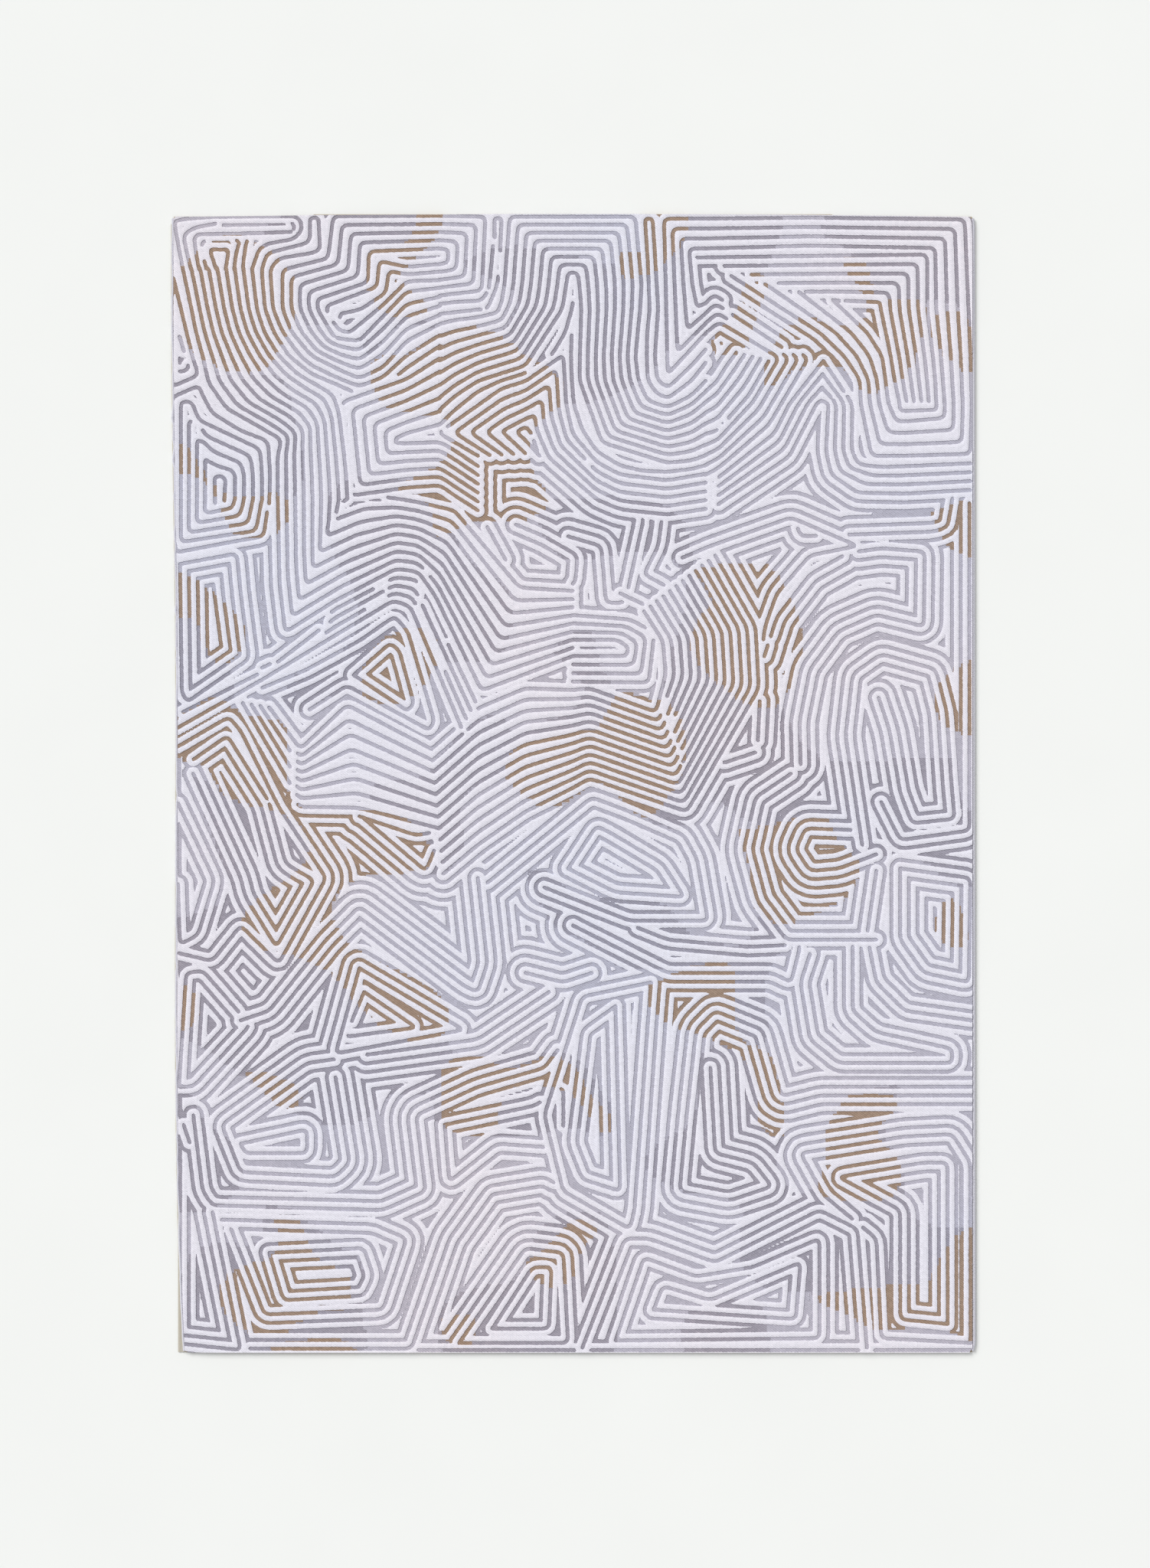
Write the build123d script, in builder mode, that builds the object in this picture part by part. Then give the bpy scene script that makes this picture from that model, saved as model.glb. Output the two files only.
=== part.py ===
from build123d import *
import os

# Area rug: raised ivory ridge pile over a lower pile in three yarns, on a woven ground that is
# sized with latex, hemmed with a tape at the two ends and overcast round a cord along the sides.
# Millimetres. The origin is at the middle of the underside, +X east, +Y towards the head end, +Z up.

# Plan of the rug
rug_width = 1700.0  # at the head end
rug_length = 2400.0
head_bow = 6.0  # how far the middle of the head end stands out past its corners
corner_radius = 15.0
# The west side leans in towards the foot: (share of the half length from the middle, inset)
west_lean = [(1.0, 0.0), (0.57, 3.0), (0.3, 8.0), (-0.62, 10.0), (-1.0, 24.0)]

# Overcast sides
overcast_width = 8.0
overcast_height = 9.0
cord_thickness = 3.0
cord_round = 1.2

# Layers, from the underside up
size_thickness = 0.8
lower_weft_thickness = 0.8
stuffer_thickness = 0.8
upper_weft_thickness = 0.8
groove_pile_height = 5.0
ridge_pile_rise = 2.8  # of the ridges above the groove pile

# Hems at the two ends
tape_width = 38.0
stitch_inset = 30.0  # of the stitch line from the rug's end
stitch_end_gap = 12.0  # between the stitch line and the overcast sides
thread_width = 1.2
thread_thickness = 0.4

# The sheet that the coloured areas are drawn on: their points are millimetres from its middle
sheet_width = 1700.0
sheet_length = 2400.0

slate_areas = [
    [(-575, 1215), (-300, 1215), (-350, 1125), (-400, 1060), (-350, 995), (-290, 960), (-385, 955),
     (-425, 895), (-465, 950), (-560, 970), (-605, 1070)],
    [(-880, 960), (-800, 890), (-700, 855), (-620, 855), (-590, 780), (-572, 700), (-590, 600),
     (-660, 580), (-745, 607), (-800, 675), (-880, 690)],
    [(-495, 625), (-380, 645), (-272, 585), (-225, 475), (-150, 420), (-125, 340), (-160, 265),
     (-280, 250), (-330, 200), (-400, 180), (-520, 180), (-600, 152), (-603, 205), (-520, 250),
     (-465, 310), (-460, 400), (-512, 500)],
    [(-220, 1105), (-60, 1125), (140, 1095), (212, 1130), (222, 1215), (440, 1215), (420, 1110),
     (380, 1030), (330, 960), (230, 935), (160, 865), (60, 810), (-20, 800), (-90, 870), (-150, 940),
     (-115, 1030)],
    [(540, 1215), (880, 1215), (880, 860), (845, 880), (820, 1000), (740, 1015), (640, 1015),
     (600, 1090), (555, 1140)],
    [(-55, 600), (60, 603), (185, 590), (235, 545), (262, 450), (300, 400), (270, 300), (310, 220),
     (440, 160), (470, 105), (560, 45), (650, 48), (740, 55), (805, 45), (815, -20), (880, -105),
     (880, -215), (800, -210), (740, -165), (640, -160), (590, -170), (500, -100), (360, -75),
     (300, -40), (240, -85), (150, -70), (170, 60), (190, 180), (215, 300), (240, 400), (215, 470),
     (120, 490), (0, 470), (-50, 500)],
    [(-20, 305), (38, 315), (62, 240), (100, 180), (40, 90), (-80, 90), (-150, 20), (-210, -10),
     (-240, -60), (-230, -120), (-270, -185), (-330, -180), (-360, -80), (-430, -35), (-420, -5),
     (-330, 10), (-275, 60), (-205, 130), (-150, 140), (-125, 108), (-60, 130), (5, 160), (20, 210)],
    [(-790, 10), (-700, -20), (-600, -55), (-540, -130), (-590, -200), (-678, -290), (-600, -355),
     (-500, -380), (-420, -460), (-330, -520), (-265, -540), (-255, -590), (-300, -650), (-385, -660),
     (-440, -708), (-510, -720), (-580, -700), (-645, -655), (-720, -600), (-800, -548), (-880, -515),
     (-880, -320), (-800, -275), (-735, -240), (-745, -150), (-775, -70)],
    [(-88, -182), (-45, -195), (0, -235), (120, -238), (190, -255), (235, -305), (300, -338),
     (380, -320), (400, -270), (442, -290), (440, -350), (405, -420), (400, -550), (330, -520),
     (290, -410), (180, -395), (80, -378), (20, -330), (-30, -310), (-70, -250)],
    [(-290, -590), (-180, -577), (-50, -567), (20, -590), (65, -660), (88, -705), (70, -745),
     (0, -725), (-60, -737), (-180, -742), (-285, -715), (-300, -650)],
    [(285, -560), (350, -550), (400, -620), (440, -690), (445, -760), (430, -805), (480, -862),
     (545, -800), (566, -708), (612, -656), (688, -640), (655, -710), (680, -780), (700, -850),
     (715, -910), (790, -937), (880, -945), (880, -1165), (760, -1135), (600, -1100), (470, -1070),
     (380, -1050), (348, -980), (355, -900), (300, -868), (200, -850), (152, -800), (240, -720),
     (265, -640)],
    [(-635, -890), (-585, -905), (-500, -970), (-450, -1005), (-442, -1100), (-440, -1215),
     (-820, -1215), (-825, -1100), (-800, -985), (-720, -972), (-655, -955)],
    [(0, -905), (60, -912), (90, -1000), (95, -1100), (80, -1215), (-265, -1215), (-272, -1100),
     (-200, -1062), (-110, -1035), (-85, -960)],
    [(255, -1105), (320, -1088), (392, -1095), (412, -1150), (405, -1215), (240, -1215)],
    [(-880, 380), (-800, 360), (-745, 290), (-725, 240), (-722, 165), (-780, 130), (-880, 110)],
    [(-880, -650), (-805, -660), (-780, -710), (-710, -765), (-705, -850), (-745, -890), (-880, -885)],
]

camel_areas = [
    [(-788, 1122), (-700, 1152), (-620, 1105), (-578, 1030), (-602, 946), (-660, 870), (-730, 870),
     (-800, 910), (-850, 985), (-880, 1050), (-835, 1085)],
    [(-281, 1215), (-285, 1160), (-330, 1110), (-362, 1062), (-305, 1000), (-345, 982), (-420, 1015),
     (-438, 1070), (-425, 1125), (-345, 1145), (-315, 1215)],
    [(-300, 945), (-170, 953), (-100, 905), (-18, 825), (-35, 790), (-78, 755), (-92, 700),
     (-80, 650), (-52, 600), (-80, 563), (-140, 550), (-230, 545), (-288, 522), (-305, 590),
     (-370, 622), (-300, 660), (-258, 705), (-258, 755), (-300, 775), (-395, 795), (-425, 850),
     (-418, 890), (-340, 910)],
    [(165, 1215), (240, 1215), (235, 1150), (205, 1110), (150, 1070), (95, 1078), (92, 1110),
     (145, 1120)],
    [(392, 1075), (408, 1045), (388, 990), (345, 905), (292, 917), (302, 950), (345, 1000)],
    [(410, 900), (440, 948), (490, 982), (560, 965), (610, 975), (605, 1040), (572, 1105),
     (612, 1100), (640, 1030), (740, 1010), (735, 940), (710, 872), (655, 832), (612, 822),
     (585, 860), (500, 878), (440, 852), (412, 835)],
    [(778, 990), (828, 983), (843, 900), (838, 870), (795, 890)],
    [(-880, 710), (-812, 706), (-770, 645), (-700, 603), (-605, 600), (-602, 552), (-640, 522),
     (-705, 522), (-748, 590), (-800, 648), (-880, 665)],
    [(-880, 450), (-800, 432), (-735, 380), (-692, 330), (-702, 280), (-740, 252), (-778, 290),
     (-800, 348), (-880, 355)],
    [(-880, 150), (-790, 165), (-750, 182), (-700, 148), (-615, 130), (-605, 10), (-570, -55),
     (-480, -65), (-400, -57), (-335, -90), (-295, -165), (-400, -192), (-495, -232), (-508, -272),
     (-460, -345), (-400, -385), (-312, -422), (-264, -515), (-290, -543), (-380, -527),
     (-450, -475), (-505, -408), (-600, -362), (-680, -335), (-697, -300), (-620, -212),
     (-560, -150), (-575, -90), (-650, -52), (-740, -18), (-785, 40), (-880, 80)],
    [(-438, 250), (-400, 302), (-332, 328), (-292, 308), (-297, 230), (-342, 182), (-400, 168),
     (-446, 192)],
    [(252, 458), (330, 463), (418, 455), (452, 405), (485, 290), (450, 190), (418, 158), (360, 168),
     (305, 212), (250, 282), (260, 340), (288, 400)],
    [(762, 575), (800, 588), (880, 590), (880, 482), (805, 490), (768, 535)],
    [(815, 248), (880, 250), (880, 110), (795, 116), (764, 165), (782, 222)],
    [(-142, 42), (-80, 98), (0, 110), (55, 120), (92, 186), (150, 182), (208, 165), (236, 60),
     (208, -20), (152, -72), (92, -22), (42, -3), (0, -30), (-70, -48), (-118, -10)],
    [(362, -92), (440, -82), (538, -78), (562, -122), (603, -170), (585, -230), (518, -272),
     (432, -295), (388, -268), (372, -180)],
    [(795, -242), (828, -298), (822, -345), (782, -338), (764, -298)],
    [(152, -432), (220, -398), (335, -388), (342, -480), (360, -545), (408, -565), (436, -640),
     (446, -700), (438, -745), (405, -735), (388, -640), (335, -562), (260, -528), (190, -498)],
    [(-278, -640), (-250, -578), (-180, -582), (-132, -600), (-60, -578), (0, -595), (42, -660),
     (78, -705), (70, -742), (42, -715), (0, -662), (-80, -637), (-148, -660), (-160, -718),
     (-195, -745), (-275, -718)],
    [(-830, -422), (-805, -432), (-795, -500), (-818, -520), (-848, -460)],
    [(-688, -607), (-640, -612), (-575, -668), (-592, -688), (-650, -652)],
    [(-622, -905), (-590, -912), (-560, -960), (-535, -1005), (-472, -1042), (-475, -1100),
     (-555, -1120), (-602, -1158), (-680, -1158), (-736, -1110), (-742, -1060), (-706, -1022),
     (-645, -1000), (-620, -950)],
    [(-628, -1180), (-560, -1172), (-485, -1172), (-450, -1215), (-628, -1215)],
    [(-92, -1002), (-42, -962), (38, -922), (48, -935), (12, -995), (2, -1038), (-78, -1048)],
    [(-258, -1122), (-205, -1150), (-222, -1190), (-258, -1182)],
    [(562, -682), (622, -652), (682, -672), (645, -735), (688, -800), (684, -858), (600, -878),
     (515, -858), (535, -790), (532, -728)],
    [(512, -1080), (570, -1070), (680, -1060), (748, -1050), (775, -1000), (845, -938), (880, -945),
     (880, -1190), (780, -1152), (640, -1150), (560, -1112)],
]

# Levels of the layers
lower_weft_base = size_thickness
stuffer_base = lower_weft_base + lower_weft_thickness
upper_weft_base = stuffer_base + stuffer_thickness
groove_pile_base = upper_weft_base + upper_weft_thickness
ridge_pile_base = groove_pile_base + groove_pile_height
cord_base = (overcast_height - cord_thickness) / 2

half_width = rug_width / 2
half_length = rug_length / 2
head_corner = half_length - head_bow
cut_margin = 50.0  # how far cutting shapes run past what they cut


def west_edge(inset):
    """Points down the west side from the head corner, moved in from the rug's edge."""
    return [
        (-half_width + lean + inset, min(along * half_length, head_corner))
        for along, lean in west_lean
    ]


def west_strip(first_inset, last_inset):
    """Plan strip along the leaning west side, between two insets from the rug's edge."""
    near = west_edge(first_inset)
    far = west_edge(last_inset)
    with BuildSketch() as strip:
        with BuildLine():
            Spline(*near)
            Line(near[-1], far[-1])
            Spline(*reversed(far))
            Line(far[0], near[0])
        make_face()
    return strip.sketch


os.makedirs("parts", exist_ok=True)

def east_strip(first_inset, last_inset):
    """Plan strip along the straight east side, between two insets from the rug's edge."""
    with BuildSketch() as strip:
        with Locations((half_width - (first_inset + last_inset) / 2, 0)):
            Rectangle(last_inset - first_inset, rug_length)
    return strip.sketch


# Plan of the whole rug
with BuildSketch() as rug_plan:
    west_points = west_edge(0)
    with BuildLine():
        Spline(*west_points)
        Line(west_points[-1], (half_width, -half_length))
        Line((half_width, -half_length), (half_width, head_corner))
        ThreePointArc((half_width, head_corner), (0, half_length), (-half_width, head_corner))
    make_face()
    fillet(rug_plan.vertices(), corner_radius)

# Plan of the woven field between the overcast sides
with BuildSketch() as field_plan:
    field_west = west_edge(overcast_width)
    field_east = half_width - overcast_width
    beyond = half_length + cut_margin
    with BuildLine():
        Spline(*field_west)
        Polyline(
            field_west[-1],
            (field_west[-1][0], -beyond),
            (field_east, -beyond),
            (field_east, beyond),
            (field_west[0][0], beyond),
            field_west[0],
        )
    make_face()
    add(rug_plan.sketch, mode=Mode.INTERSECT)


def yarn_areas(outlines):
    """Plan of the areas worked in one yarn, drawn out from the sheet to the rug's size."""
    across = rug_width / sheet_width
    along = rug_length / sheet_length
    with BuildSketch() as areas:
        for outline in outlines:
            with BuildLine():
                Spline(*[(x * across, y * along) for x, y in outline], periodic=True)
            make_face()
        add(field_plan.sketch, mode=Mode.INTERSECT)
    return areas.sketch


camel_plan = yarn_areas(camel_areas)
slate_plan = yarn_areas(slate_areas)

# Ground weave
with BuildPart() as lower_weft:
    with BuildSketch(Plane.XY.offset(lower_weft_base)):
        add(field_plan.sketch)
    extrude(amount=lower_weft_thickness)
lower_weft.part.label = "lower_weft"
export_step(lower_weft.part, "parts/lower_weft.step")

with BuildPart() as stuffer_warp:
    with BuildSketch(Plane.XY.offset(stuffer_base)):
        add(field_plan.sketch)
    extrude(amount=stuffer_thickness)
stuffer_warp.part.label = "stuffer_warp"
export_step(stuffer_warp.part, "parts/stuffer_warp.step")

with BuildPart() as upper_weft:
    with BuildSketch(Plane.XY.offset(upper_weft_base)):
        add(field_plan.sketch)
    extrude(amount=upper_weft_thickness)
upper_weft.part.label = "upper_weft"
export_step(upper_weft.part, "parts/upper_weft.step")

# Groove pile: silver with areas of slate and camel yarn let into it
with BuildPart() as camel_groove_pile:
    with BuildSketch(Plane.XY.offset(groove_pile_base)):
        add(camel_plan)
    extrude(amount=groove_pile_height)
camel_groove_pile.part.label = "camel_groove_pile"
export_step(camel_groove_pile.part, "parts/camel_groove_pile.step")

with BuildPart() as slate_groove_pile:
    with BuildSketch(Plane.XY.offset(groove_pile_base)):
        add(slate_plan)
        add(camel_plan, mode=Mode.SUBTRACT)
    extrude(amount=groove_pile_height)
slate_groove_pile.part.label = "slate_groove_pile"
export_step(slate_groove_pile.part, "parts/slate_groove_pile.step")

with BuildPart() as silver_groove_pile:
    with BuildSketch(Plane.XY.offset(groove_pile_base)):
        add(field_plan.sketch)
        add(slate_plan, mode=Mode.SUBTRACT)
        add(camel_plan, mode=Mode.SUBTRACT)
    extrude(amount=groove_pile_height)
silver_groove_pile.part.label = "silver_groove_pile"
export_step(silver_groove_pile.part, "parts/silver_groove_pile.step")

# Ridge pile: the envelope of the raised ivory lines
with BuildPart() as ivory_ridge_pile:
    with BuildSketch(Plane.XY.offset(ridge_pile_base)):
        add(field_plan.sketch)
    extrude(amount=ridge_pile_rise)
ivory_ridge_pile.part.label = "ivory_ridge_pile"
export_step(ivory_ridge_pile.part, "parts/ivory_ridge_pile.step")

# Hem tapes at the two ends, each with a groove for its line of stitches
for end, side in (("north", 1), ("south", -1)):
    tape_middle = side * (half_length + cut_margin - (tape_width + cut_margin) / 2)
    stitch_middle = side * (half_length - stitch_inset)
    stitch_west = west_edge(overcast_width)[0 if side > 0 else -1][0] + stitch_end_gap
    stitch_east = half_width - overcast_width - stitch_end_gap
    stitch_length = stitch_east - stitch_west
    stitch_centre = ((stitch_east + stitch_west) / 2, stitch_middle)

    with BuildPart() as hem_stitch:
        with BuildSketch():
            with Locations(stitch_centre):
                Rectangle(stitch_length, thread_width)
        extrude(amount=thread_thickness)
    hem_stitch.part.label = f"hem_stitch_{end}"
    export_step(hem_stitch.part, f"parts/hem_stitch_{end}.step")

    with BuildPart() as hem_tape:
        with BuildSketch():
            with Locations((0, tape_middle)):
                Rectangle(rug_width + cut_margin, tape_width + cut_margin)
            add(field_plan.sketch, mode=Mode.INTERSECT)
        extrude(amount=size_thickness)
        add(hem_stitch.part, mode=Mode.SUBTRACT)
    hem_tape.part.label = f"hem_tape_{end}"
    export_step(hem_tape.part, f"parts/hem_tape_{end}.step")

# Latex size on the back, between the tapes
with BuildPart() as latex_size:
    with BuildSketch():
        Rectangle(rug_width + cut_margin, rug_length - 2 * tape_width)
        add(field_plan.sketch, mode=Mode.INTERSECT)
    extrude(amount=size_thickness)
latex_size.part.label = "latex_size"
export_step(latex_size.part, "parts/latex_size.step")

# Overcast sides, each wound round its selvedge cord. The cord is cut square at both ends.
def side_plan(strip):
    """Plan of an overcast side, cut to the rounded corners of the rug."""
    with BuildSketch() as plan:
        add(strip)
        add(rug_plan.sketch, mode=Mode.INTERSECT)
    return plan.sketch


def cord_plan(strip):
    """Plan of a selvedge cord, clear of the rounded corners."""
    with BuildSketch() as plan:
        add(strip)
        with Locations((0, -head_bow / 2)):
            Rectangle(2 * rug_width, cord_length, mode=Mode.INTERSECT)
    return plan.sketch


def is_long(edge):
    return edge.length > half_length


cord_inset = (overcast_width - cord_thickness) / 2
cord_length = rug_length - head_bow - 2 * corner_radius

for side, strip in (("west", west_strip), ("east", east_strip)):
    with BuildPart() as selvedge_cord:
        with BuildSketch(Plane.XY.offset(cord_base)):
            add(cord_plan(strip(cord_inset, cord_inset + cord_thickness)))
        extrude(amount=cord_thickness)
        fillet(selvedge_cord.edges().filter_by(is_long), cord_round)
    selvedge_cord.part.label = f"selvedge_cord_{side}"
    export_step(selvedge_cord.part, f"parts/selvedge_cord_{side}.step")

    with BuildPart() as overcast:
        with BuildSketch():
            add(side_plan(strip(0, overcast_width)))
        extrude(amount=overcast_height)
        add(selvedge_cord.part, mode=Mode.SUBTRACT)
    overcast.part.label = f"overcast_{side}"
    export_step(overcast.part, f"parts/overcast_{side}.step")
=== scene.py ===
import math

import bpy
import numpy as np
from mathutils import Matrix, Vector


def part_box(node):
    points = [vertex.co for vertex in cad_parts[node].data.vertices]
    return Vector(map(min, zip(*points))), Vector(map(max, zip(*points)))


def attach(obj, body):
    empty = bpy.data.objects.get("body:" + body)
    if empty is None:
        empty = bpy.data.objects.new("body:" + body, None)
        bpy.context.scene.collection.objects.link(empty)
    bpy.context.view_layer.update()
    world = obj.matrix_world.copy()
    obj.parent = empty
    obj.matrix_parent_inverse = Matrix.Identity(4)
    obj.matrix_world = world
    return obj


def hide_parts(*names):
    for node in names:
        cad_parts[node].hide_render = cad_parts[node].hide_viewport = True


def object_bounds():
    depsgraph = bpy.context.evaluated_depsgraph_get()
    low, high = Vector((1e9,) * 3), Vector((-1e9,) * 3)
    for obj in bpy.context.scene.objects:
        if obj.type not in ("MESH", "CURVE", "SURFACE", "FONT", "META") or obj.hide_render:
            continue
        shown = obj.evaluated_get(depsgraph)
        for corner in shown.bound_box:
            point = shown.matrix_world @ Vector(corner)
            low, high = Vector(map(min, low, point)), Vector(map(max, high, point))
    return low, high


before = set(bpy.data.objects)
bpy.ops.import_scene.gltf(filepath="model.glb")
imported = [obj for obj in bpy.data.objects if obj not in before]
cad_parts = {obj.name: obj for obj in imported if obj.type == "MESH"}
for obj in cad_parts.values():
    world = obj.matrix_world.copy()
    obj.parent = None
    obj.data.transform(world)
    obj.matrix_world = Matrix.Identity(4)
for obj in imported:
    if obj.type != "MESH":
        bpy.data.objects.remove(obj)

# The looks of an area rug: ivory ridges of cut pile wander over a lower pile in silver, slate and
# camel yarn, on a woven ground with an overcast edge at each side and a taped hem at each end.
# Lengths whose names end in _mm are millimetres; every mesh is in metres.

cad_low, cad_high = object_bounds()
scene = bpy.context.scene
MM = 0.001
same_level = 1e-5  # metres between two points that count as level

# ------------------------------------------------------------------ the pattern
# The pattern is drawn on a sheet of this size, in millimetres from its middle. Its grooves are
# lines. A run is a bundle of evenly spaced lines: how many, and its rungs, each of which is a point
# of the first line and one of the last. All the lines of a run bend at its rungs. The runs are laid
# first and the single lines after them. Where neither is drawn, the grooves follow the nearest line.
sheet_width_mm = 1700.0
sheet_length_mm = 2400.0
groove_width_mm = 8.2
groove_pitch_mm = 18.4  # of the grooves that follow the nearest line
bend_reach_mm = 13.0  # how far from its corner a line starts to bend
most_bend = 0.45  # of a leg, so that the bends at its two ends never meet
line_step_mm = 5.0  # from one point of a laid line to the next
clear_gap_mm = 14.5  # a line is left out where it would come closer than this to an earlier one
least_stretch_mm = 24.0
meeting_steps = 5  # of a line at its ends, within which it may meet the end of another

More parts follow.
